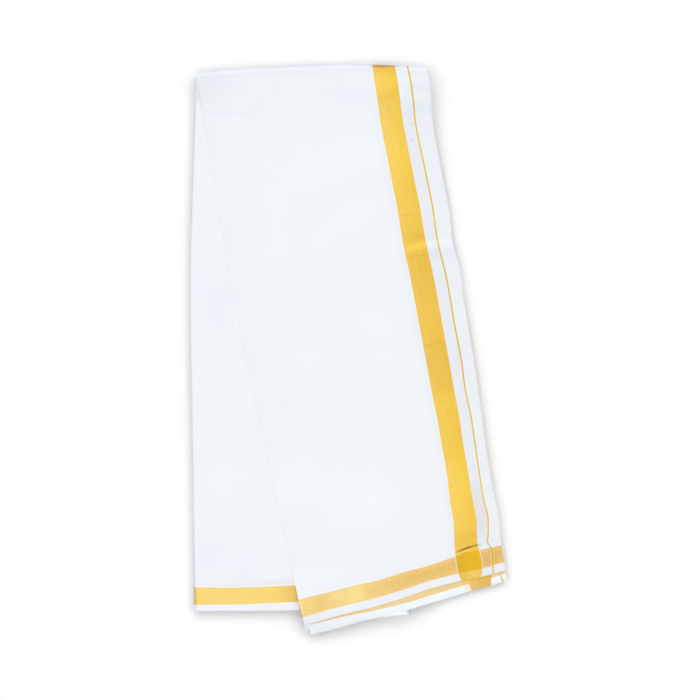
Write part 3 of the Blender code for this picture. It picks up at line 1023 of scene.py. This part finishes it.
def build_outer(material):
    """The first layer: the front face, round the top fold and all along the underside."""
    columns = stations(OUTER_COLUMNS, BOTH_ENDS, EDGE_REACH)[::-1]
    path = layer_path(1, columns) + fold_path(1, 8, -1, True)
    column, places, drop, rise, bend = path_columns(path)
    rows = front_rows(stations(OUTER_ROWS, CREASED_ROWS, CREASE_REACH, CREASE_GAIN), False)
    turn = nose_turns()
    back = stations(UNDER_ROWS, BOTH_ENDS)[None, :]
    sides = []
    for out, depth in places:
        front = place_front(column, out, depth, drop, rows)
        fade = smooth(rows[0] * LEAF_LENGTH / CREASES_START) * last_quarter(1.0 - depth)
        fade = fade * np.minimum(front_thickness(column, rows[0]) / CREASES_NEED, 1.0)
        flat_plan = place_front(column, 0.0 * out, depth, drop, rows)[:2]
        front[2] += fade * (crease_height(FRONT_CREASES, *flat_plan) + cloth_waves(*flat_plan, 1.0))
        nose = place_nose(column, out, depth, turn, 0.0)
        under = place_back(column, out, depth, rise, back, 0.0, UNDER_HEM)
        under[2] += crease_height(UNDER_CREASES, *under[:2]) * smooth(back / UNDER_CREASES_START)
        sides.append(np.concatenate([front, nose, under], axis=2))
    upright = rows[0].shape[1]
    fronts = upright + turn.shape[1]
    front, under = np.split(sides[0], [fronts], axis=2)
    threads = np.concatenate([front_threads(front), under_threads(under)], axis=2)
    across, down, _ = sides[0]
    on_front = (np.arange(across.shape[1]) < fronts)[None, :]
    nose_shade = np.pad(crest_shade(turn), ((0, 0), (upright, back.shape[1])))
    nose_shade[:, :upright] = CREST_SHADE * np.exp(-(rows[0] * LEAF_LENGTH / CREST_REACH) ** 2)
    # Painted shade on the side of the left fold, towards the hem
    free_fold_shade = FOLD_SHADE * bend * smooth((down - FREE_FOLD_DOWN) / FREE_FOLD_FADE)
    glints, lit_and_shaded_tints, shades = (
        on_front * crease_height(table, across, down) for table in (FRONT_GLINTS, FRONT_LIT_AND_SHADED_TINTS, FRONT_SHADES)
    )
    looks = {
        "tone_and_sheen": patch_tones(FRONT_TONE, FRONT_SHEEN_AND_SHADE, threads) + glints,
        "tint_light_and_shade": lit_and_shaded_tints,
        "shade": shades + nose_shade + free_fold_shade,
    }
    gap = np.s_[len(columns) - 1:, fronts:]
    return make_shell("outer_cloth", material, sides, threads, looks, [gap])


def build_second(material):
    """The cloth end below the first layer, which shows past its hem."""
    columns = stations(SECOND_COLUMNS, BOTH_ENDS, EDGE_REACH)
    column, places, _, _, bend = path_columns(fold_path(7, 2, -1, False) + layer_path(2, columns, False))
    drop = read_table(SECOND_DROP, mix(FRONT_HEM[0].across, FRONT_HEM[-1].across, column))
    rows = front_rows(stations(STACK_ROWS, STACK_FINE_ROWS), True)
    edges = (SECOND_RIGHT_INSET, SECOND_CORNER_INSET, SECOND_DROOP)
    sides = [place_front(column, out, depth, drop, rows, *edges) for out, depth in places]
    threads = second_threads(sides[0])
    looks = {
        "tone_and_sheen": patch_tones(SECOND_TONE, SECOND_PATCHES, threads),
        "tint_light_and_shade": SECOND_PAINTED_LIGHT * smooth(rows[1] / SECOND_PAINTED_LIGHT_FADE),
        "shade": FOLD_SHADE * bend,
    }
    return make_shell("second_cloth", material, sides, threads, looks)


def build_inner(material):
    """The back half's top layer, with the fold that turns it into the underside."""
    columns = stations(INNER_COLUMNS, BOTH_ENDS, EDGE_REACH)
    column, places, _, rise, bend = path_columns(fold_path(1, 8, -1, True) + layer_path(8, columns, False))
    row = stations(INNER_ROWS, INNER_FINE_ROWS)[None, :]
    sides = []
    for out, depth in places:
        back = place_back(column, out, depth, rise, row, INNER_RIGHT_INSET, INNER_HEM)
        fade = smooth(row * LEAF_LENGTH / CREASES_START) * last_quarter(depth)
        shape = crease_height(BACK_CREASES, *back[:2]) + cloth_waves(*back[:2], 4.0)
        back[2] += fade * np.minimum(shape, BACK_RELIEF)
        sides.append(back)
    threads = inner_threads(sides[0])
    looks = {
        "tone_and_sheen": patch_tones(INNER_TONE, INNER_SHADE_PATCHES, threads),
        "tint_light_and_shade": crease_height(BACK_TINTS, *sides[0][:2]),
        "shade": FOLD_SHADE * bend,
    }
    return make_shell("inner_cloth", material, sides, threads, looks)


def stack_path(leftward):
    """The path of the hidden layers, to and fro through their folds."""
    path = layer_path(8, leftward[::-1], False)
    way = 1
    for start, end in zip(STACK_ORDER, STACK_ORDER[1:]):
        outside = (start, end) in FIRST_SIDE_OUTSIDE
        path += fold_path(start, end, way, outside)
        path += layer_path(end, leftward if way > 0 else leftward[::-1], way > 0)
        way = -way
    return path


def build_stack(material):
    """The other layers of both halves: one strip that turns to and fro through its folds."""
    leftward = stations(STACK_COLUMNS, BOTH_ENDS, STACK_REACH)[::-1]
    column, places, drop, rise, bend = path_columns(stack_path(leftward))
    rows = front_rows(stations(STACK_ROWS, STACK_FINE_ROWS), True)
    turn = nose_turns()
    back = stations(UNDER_ROWS, BOTH_ENDS)[None, :]
    inset = STACK_RIGHT_INSET
    sides = [
        np.concatenate([
            place_front(column, out, depth, drop, rows, inset, -STACK_CORNER_OUTSET),
            place_nose(column, out, depth, turn, inset),
            place_back(column, out, depth, rise, back, inset, UNDER_HEM),
        ], axis=2)
        for out, depth in places
    ]
    fronts = rows[0].shape[1]
    noses = fronts + turn.shape[1]
    is_front = (np.arange(sides[0].shape[2]) < noses)[None, :]
    threads = stack_threads(sides[0], drop, rise, is_front)
    # Painted shade on the hidden hems and fold sides, kept off the corner that shows
    at_corner = 1.0 - smooth(column / STACK_CORNER_COLUMN)
    hem_shade = HEM_SHADE * rows[1] ** 2 * (1.0 - at_corner)
    clear = at_corner * smooth((rows[0] - STACK_CORNER_ROW) / STACK_CORNER_FADE)
    fold_shade = FOLD_SHADE * bend * (1.0 - clear)
    past_front = ((0, 0), (0, threads.shape[2] - fronts))
    shade = np.pad(hem_shade, past_front) + np.pad(fold_shade, past_front, mode="edge")
    looks = {"tone_and_sheen": np.array([[FRONT_TONE]]), "shade": shade}
    columns = len(leftward)
    gaps = [np.s_[:columns, noses:], np.s_[-columns - FOLD_STEPS + 1:, :fronts - 1]]
    return make_shell("layer_stack", material, sides, threads, looks, gaps)


class Finish:
    """Builds one cloth's node material from its thread counts, in millimetres."""

    def __init__(self, name):
        self.material = bpy.data.materials.new(name)
        self.material.use_nodes = True
        self.nodes = self.material.node_tree.nodes
        self.links = self.material.node_tree.links
        self.shader = self.nodes["Principled BSDF"]
        threads = self.nodes.new("ShaderNodeUVMap")
        threads.uv_map = "threads"
        parts = self.nodes.new("ShaderNodeSeparateXYZ")
        self.links.new(threads.outputs["UV"], parts.inputs["Vector"])
        stray = self.math("SUBTRACT", self.noise_at(threads.outputs["UV"], STRAY_SCALE, 1.0), 0.5)
        stray = self.math("MULTIPLY", stray, STRAY_REACH)
        self.across, self.along = (
            self.math("MULTIPLY_ADD", parts.outputs[axis], 1.0 / METRE, stray) for axis in "XY"
        )

    def put(self, socket, value):
        """Set a socket, or link it to an output."""
        if isinstance(value, bpy.types.NodeSocket):
            self.links.new(value, socket)
        else:
            socket.default_value = value

    def math(self, operation, *values):
        """A Math node's result."""
        node = self.nodes.new("ShaderNodeMath")
        node.operation = operation
        for socket, value in zip(node.inputs, values):
            self.put(socket, value)
        return node.outputs["Value"]

    def noise_at(self, vector, scale, detail):
        """Noise from 0 to 1 at a vector."""
        node = self.nodes.new("ShaderNodeTexNoise")
        self.put(node.inputs["Vector"], vector)
        node.inputs["Scale"].default_value = scale
        node.inputs["Detail"].default_value = detail
        return node.outputs["Fac"]

    def uneven(self, mottle):
        """Noise round 0 over the cloth, in patches of given sizes along both kinds of thread."""
        node = self.nodes.new("ShaderNodeCombineXYZ")
        self.put(node.inputs["X"], self.math("DIVIDE", self.across, mottle.across_size))
        self.put(node.inputs["Y"], self.math("DIVIDE", self.along, mottle.along_size))
        return self.math("SUBTRACT", self.noise_at(node.outputs["Vector"], 1.0, mottle.detail), 0.5)

    def ramp(self, value, low, high):
        """Ease from 0 to 1 as the value goes from low to high."""
        node = self.nodes.new("ShaderNodeMapRange")
        node.interpolation_type = "SMOOTHSTEP"
        self.put(node.inputs["Value"], value)
        self.put(node.inputs["From Min"], low)
        self.put(node.inputs["From Max"], high)
        return node.outputs["Result"]

    def within(self, value, low, high, blur=0.25):
        """1 between two thread counts, with soft ends."""
        rising = self.ramp(value, low - blur, low + blur)
        falling = self.ramp(value, high + blur, high - blur)
        return self.math("MULTIPLY", rising, falling)

    def look(self, name):
        """One of the values that the shell holds at its points."""
        node = self.nodes.new("ShaderNodeAttribute")
        node.attribute_name = name
        return node.outputs["Fac"]

    def blend(self, share, first, second, way="MIX"):
        """A mix of two colours."""
        node = self.nodes.new("ShaderNodeMix")
        node.data_type = "RGBA"
        node.blend_type = way
        self.put(node.inputs["Factor"], share)
        colours = [socket for socket in node.inputs if socket.type == "RGBA"]
        for socket, value in zip(colours, (first, second)):
            self.put(socket, value if isinstance(value, bpy.types.NodeSocket) else (*value, 1.0))
        return next(socket for socket in node.outputs if socket.type == "RGBA")

    def ribs(self, value, pitch):
        """Even ribs from 0 to 1 across a thread count."""
        turn = self.math("MULTIPLY", value, 2.0 * math.pi / pitch)
        return self.math("MULTIPLY_ADD", self.math("SINE", turn), 0.5, 0.5)

    def number(self, share, first, second):
        """A mix of two numbers."""
        return self.math("MULTIPLY_ADD", share, second - first, first)


def plain_cotton(cloth, tint_light_and_shade):
    """White cotton, clearer and bluer in uneven clouds, with painted light and bluer painted shade where
    its tint says.
    """
    tint_light_and_shade = cloth.math("MULTIPLY_ADD", cloth.uneven(CLOUDS), CLOUD_STRENGTH, tint_light_and_shade)
    colour = cloth.blend(tint_light_and_shade, COTTON, COTTON_CLEAR_AND_LIT)
    return cloth.blend(cloth.math("MULTIPLY", tint_light_and_shade, -1.0), colour, COTTON_BLUE_AND_SHADED)


def hem_weave(cloth, tone_and_sheen, grain, gold):
    """The hem border's gold, in small squares of thread."""
    rows, ranks = cloth.ribs(cloth.along, SQUARE_LENGTH), cloth.ribs(cloth.across, SQUARE_WIDTH)
    squares = cloth.math("SUBTRACT", cloth.math("MULTIPLY", rows, ranks), 0.25)
    wefts = cloth.math("MULTIPLY_ADD", grain, WEFT_GRAIN, cloth.math("MULTIPLY", squares, WEFT_SQUARES))
    return cloth.blend(cloth.math("ADD", tone_and_sheen, wefts), gold.dull, gold.bright)


def band_weave(cloth, tone_and_sheen, grain):
    """The band's gold, streaked along its warps, and richer towards its right edge."""
    warps = cloth.math("MULTIPLY_ADD", cloth.uneven(STREAKS), WARP_STREAKS, tone_and_sheen)
    warps = cloth.math("MULTIPLY_ADD", grain, WARP_GRAIN, warps)
    lean = cloth.math("MULTIPLY_ADD", cloth.across, BAND_LEAN, BAND_LEAN_START)
    gold = cloth.blend(cloth.math("ADD", warps, lean), BAND_GOLD.dull, BAND_GOLD.bright)
    toward_right = cloth.ramp(cloth.across, BAND_END, LINE_TO_BAND)
    paler = cloth.number(toward_right, -LEFT_RICHNESS, 0.0)
    richness = cloth.number(toward_right, LEFT_RICHNESS, RIGHT_RICHNESS)
    # Paler and richer stretches, the last a painted highlight along the pucker's ridge
    for stretch, change in (
        (PALER_STRETCH, paler),
        (RICHER_STRETCH, RICHER),
        (PUCKER_HIGHLIGHT_STRETCH, PUCKER_HIGHLIGHT_CHANGE),
    ):
        richness = cloth.math("MULTIPLY_ADD", cloth.within(cloth.along, *stretch), change, richness)
    return cloth.blend(richness, gold, RICHER_GOLD, "MULTIPLY")


def cotton_beside_band(cloth, colour):
    """Duller cotton on both sides of the band, rosier in one stretch on its right."""
    beside_line = cloth.within(cloth.across, *BESIDE_LINE)
    past_band = cloth.ramp(cloth.across, BAND_END + DULL_REACH, BAND_END)
    duller = cloth.math("MULTIPLY", past_band, DULL_PAST_BAND)
    duller = cloth.math("MULTIPLY_ADD", beside_line, DULL_BESIDE_LINE, duller)
    duller = cloth.math("MULTIPLY", duller, cloth.ramp(cloth.along, *DULL_FADE))
    colour = cloth.blend(duller, colour, END_COTTON, "MULTIPLY")
    rosy = cloth.math("MULTIPLY", beside_line, cloth.within(cloth.along, *ROSY_STRETCH))
    return cloth.blend(rosy, colour, ROSY_COTTON, "MULTIPLY")


def stitches(cloth):
    """Where a pale thread stitches the edges of the band and the line."""
    edges = 0.0
    for low, high in STITCHED_EDGES:
        edges = cloth.math("MAXIMUM", cloth.within(cloth.across, low, high), edges)
    return cloth.math("MULTIPLY", cloth.ramp(cloth.ribs(cloth.along, STITCH_PITCH), *STITCH_RAMP), edges)


def crossings(cloth, colour, band, border, blocks, crossed):
    """The deeper gold where the band crosses the hem's margin and its border."""
    # The crossing gold is duller towards the band's left edge and in small streaks
    dulled = cloth.math("MULTIPLY", cloth.ramp(cloth.across, CROSSING_DULL_START, BAND_END), CROSSING_DULL_LEFT)
    dulled = cloth.math("MULTIPLY_ADD", cloth.uneven(SPECKS), CROSSING_DULL_SPECKS, dulled)
    margin = cloth.ramp(cloth.along, HEM_MARGIN + MARGIN_BLUR, HEM_MARGIN - MARGIN_BLUR)
    for part, gold in ((margin, blocks), (border, crossed)):
        share = cloth.math("MULTIPLY", band, part)
        colour = cloth.blend(share, colour, cloth.blend(dulled, gold.bright, gold.dull))
    return colour


def cloth_finish(name, hem_gold, blocks=None, crossed=None, see_through=None):
    """White cotton with gold borders woven in where the thread counts say."""
    cloth = Finish(name)
    tone_and_sheen, tint_light_and_shade, shade = (cloth.look(look) for look in ("tone_and_sheen", "tint_light_and_shade", "shade"))
    grain = cloth.uneven(GRAIN)
    gold = border = cloth.within(cloth.along, HEM_MARGIN, BORDER_END)
    colour = cloth.blend(border, plain_cotton(cloth, tint_light_and_shade), hem_weave(cloth, tone_and_sheen, grain, hem_gold))
    if see_through:
        share, below = see_through
        colour = cloth.blend(share(cloth), colour, below)
    elif blocks:
        colour = cotton_beside_band(cloth, colour)
    if blocks:
        band = cloth.within(cloth.across, LINE_TO_BAND, BAND_END)
        line = cloth.within(cloth.across, -LINE_HALF_WIDTH, LINE_HALF_WIDTH)
        stripe = cloth.math("MAXIMUM", band, line)
        colour = cloth.blend(stripe, colour, band_weave(cloth, tone_and_sheen, grain))
        colour = cloth.blend(line, colour, LINE_SHADE, "MULTIPLY")
        colour = crossings(cloth, colour, band, border, blocks, crossed)
        gold = cloth.math("MAXIMUM", border, stripe)
    if blocks and not see_through:
        stitched = cloth.math("MULTIPLY", stitches(cloth), border)
        colour = cloth.blend(stitched, colour, EDGE_THREAD)
    # Painted shade, in two stages: up to 1 the shade look darkens gold and cotton, above 1 further
    colour = cloth.blend(shade, colour, cloth.blend(gold, COTTON_SHADE, GOLD_SHADE), "MULTIPLY")
    deeper = cloth.math("SUBTRACT", shade, 1.0)
    colour = cloth.blend(deeper, colour, cloth.blend(gold, COTTON_DEEP_SHADE, GOLD_DEEP_SHADE), "MULTIPLY")

    inputs = cloth.shader.inputs
    cloth.put(inputs["Base Color"], colour)
    cloth.put(inputs["Roughness"], cloth.number(gold, COTTON_ROUGHNESS, GOLD_ROUGHNESS))
    cloth.put(inputs["Metallic"], cloth.number(gold, 0.0, GOLD_METALLIC))
    inputs["Sheen Weight"].default_value = SHEEN
    inputs["Sheen Roughness"].default_value = SHEEN_ROUGHNESS
    cloth.put(inputs["Normal"], thread_relief(cloth, gold))
    return cloth.material


def thread_relief(cloth, gold):
    """A plain weave in the cotton and satin ribs in the gold, as fine relief."""
    plain = cloth.math("MULTIPLY", *(cloth.ribs(way, PLAIN_PITCH) for way in (cloth.across, cloth.along)))
    change = cloth.math("SUBTRACT", cloth.ribs(cloth.along, SATIN_PITCH), plain)
    bump = cloth.nodes.new("ShaderNodeBump")
    bump.inputs["Strength"].default_value = WEAVE_STRENGTH
    bump.inputs["Distance"].default_value = WEAVE_RELIEF
    cloth.put(bump.inputs["Height"], cloth.math("MULTIPLY_ADD", change, gold, plain))
    return bump.outputs["Normal"]


def layer_below_border(cloth):
    """Where the next layer's border shows faintly through the back half, above its own."""
    from_left = cloth.math("SUBTRACT", cloth.across, LEAF_WIDTH)
    top = cloth.math("MULTIPLY_ADD", from_left, BELOW_SLANT, BELOW_TOP)
    above = cloth.ramp(cloth.along, *BELOW_FOOT)
    below = cloth.ramp(cloth.math("SUBTRACT", cloth.along, top), BELOW_BLUR, -BELOW_BLUR)
    strength = cloth.math("MULTIPLY_ADD", from_left, BELOW_GAIN, BELOW_STRENGTH)
    return cloth.math("MULTIPLY", cloth.math("MULTIPLY", above, below), strength)


def block_below_end(cloth):
    """Where the first layer's gold shows through the cloth end, left of its own band."""
    near = cloth.math(
        "MULTIPLY", cloth.within(cloth.across, *BLOCK_STRETCH), cloth.ramp(cloth.across, *BLOCK_EDGE)
    )
    past_border = cloth.ramp(cloth.along, HEM_MARGIN - MARGIN_BLUR, HEM_MARGIN + MARGIN_BLUR)
    return cloth.math("MULTIPLY", near, cloth.number(past_border, *BLOCK_SHARES))


def add_floor():
    """A plain pale floor that sweeps up at its far rim, and is no part of the cloth."""
    edit = bmesh.new()
    rings = [[edit.verts.new((0.0, 0.0, -FLOOR_DROP))] * FLOOR_TURNS]
    for step in range(SWEEP_STEPS + 1):
        share = step / SWEEP_STEPS
        radius, rise = FLOOR_RADIUS + SWEEP_REACH * math.sqrt(share), SWEEP_HEIGHT * share ** 2
        turns = [2.0 * math.pi * spot / FLOOR_TURNS for spot in range(FLOOR_TURNS)]
        ring = [(radius * math.cos(turn), radius * math.sin(turn), rise - FLOOR_DROP) for turn in turns]
        rings.append([edit.verts.new(point) for point in ring])
    for ring, following in zip(rings, rings[1:]):
        for spot in range(FLOOR_TURNS):
            beside = (spot + 1) % FLOOR_TURNS
            corners = (ring[spot], following[spot], following[beside], ring[beside])
            edit.faces.new(dict.fromkeys(corners))
    mesh = bpy.data.meshes.new("floor")
    edit.to_mesh(mesh)
    edit.free()
    mesh.shade_smooth()
    floor = bpy.data.objects.new("floor", mesh)
    bpy.context.scene.collection.objects.link(floor)
    material = bpy.data.materials.new("floor_paper")
    material.use_nodes = True
    shader = material.node_tree.nodes["Principled BSDF"]
    shader.inputs["Base Color"].default_value = (*FLOOR, 1.0)
    shader.inputs["Roughness"].default_value = FLOOR_ROUGHNESS
    shader.inputs["Specular IOR Level"].default_value = 0.0
    mesh.materials.append(material)
    return floor


def add_ring(ring, name):
    """A ring of far softboxes, lower and brighter beyond the top fold than in front of the hems."""
    for number in range(ring.lights):
        turn = 2.0 * math.pi * number / ring.lights
        elevation = math.radians(ring.elevation * ring.lean ** -math.sin(turn))
        height, reach = math.sin(elevation), math.cos(elevation)
        way = Vector((reach * math.cos(turn), reach * math.sin(turn), height))
        data = bpy.data.lights.new(f"{name}_{number}", "SUN")
        data.angle = math.radians(ring.spread)
        share = ring.share / ring.lights * (1.0 + BEYOND_SHARE * math.sin(turn))
        data.energy = share * math.pi / height
        lamp = bpy.data.objects.new(data.name, data)
        lamp.location = way * LIGHT_DISTANCE
        lamp.rotation_mode = "QUATERNION"
        lamp.rotation_quaternion = (-way).to_track_quat("-Z", "Y")
        bpy.context.scene.collection.objects.link(lamp)


def add_world():
    """Even pale light from all round."""
    world = bpy.data.worlds.new("studio")
    world.use_nodes = True
    back = world.node_tree.nodes["Background"]
    back.inputs["Color"].default_value = (1.0, 1.0, 1.0, 1.0)
    back.inputs["Strength"].default_value = WORLD_LIGHT
    bpy.context.scene.world = world


def add_camera():
    """A long lens that looks straight down at the cloth."""
    data = bpy.data.cameras.new("camera")
    data.sensor_width = SENSOR
    data.lens = SENSOR * (VIEW_HEIGHT - VIEW_PLANE) / VIEW_WIDTH
    data.clip_end = FARTHEST
    camera = bpy.data.objects.new("camera", data)
    camera.location = (*VIEW_CENTRE, VIEW_HEIGHT)
    bpy.context.scene.collection.objects.link(camera)
    bpy.context.scene.camera = camera


def main():
    bpy.context.scene.view_settings.view_transform = "Standard"
    add_camera()
    add_world()
    for ring, name in zip(RINGS, ("low", "high")):
        add_ring(ring, name)
    floor = add_floor()
    outer = build_outer(cloth_finish("outer_cotton", FRONT_HEM_GOLD, MARGIN_GOLD, CROSSING_GOLD))
    second = build_second(cloth_finish("second_cotton", SECOND_HEM_GOLD, SECOND_BLOCK_GOLD,
                                       SECOND_CROSSING_GOLD, (block_below_end, BLOCK_BELOW)))
    inner = build_inner(cloth_finish("inner_cotton", INNER_HEM_GOLD,
                                     see_through=(layer_below_border, SHOW_THROUGH)))
    stack = build_stack(cloth_finish("hidden_cotton", FRONT_HEM_GOLD))
    for piece, node, slot in (
        (outer, "outer_leaf", "outer_cotton"),
        (second, "second_leaf", "second_cotton"),
        (inner, "inner_leaf", "inner_cotton"),
        (stack, "folded_layers", "hidden_cotton"),
    ):
        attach(piece, "root")
        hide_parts(node)


main()
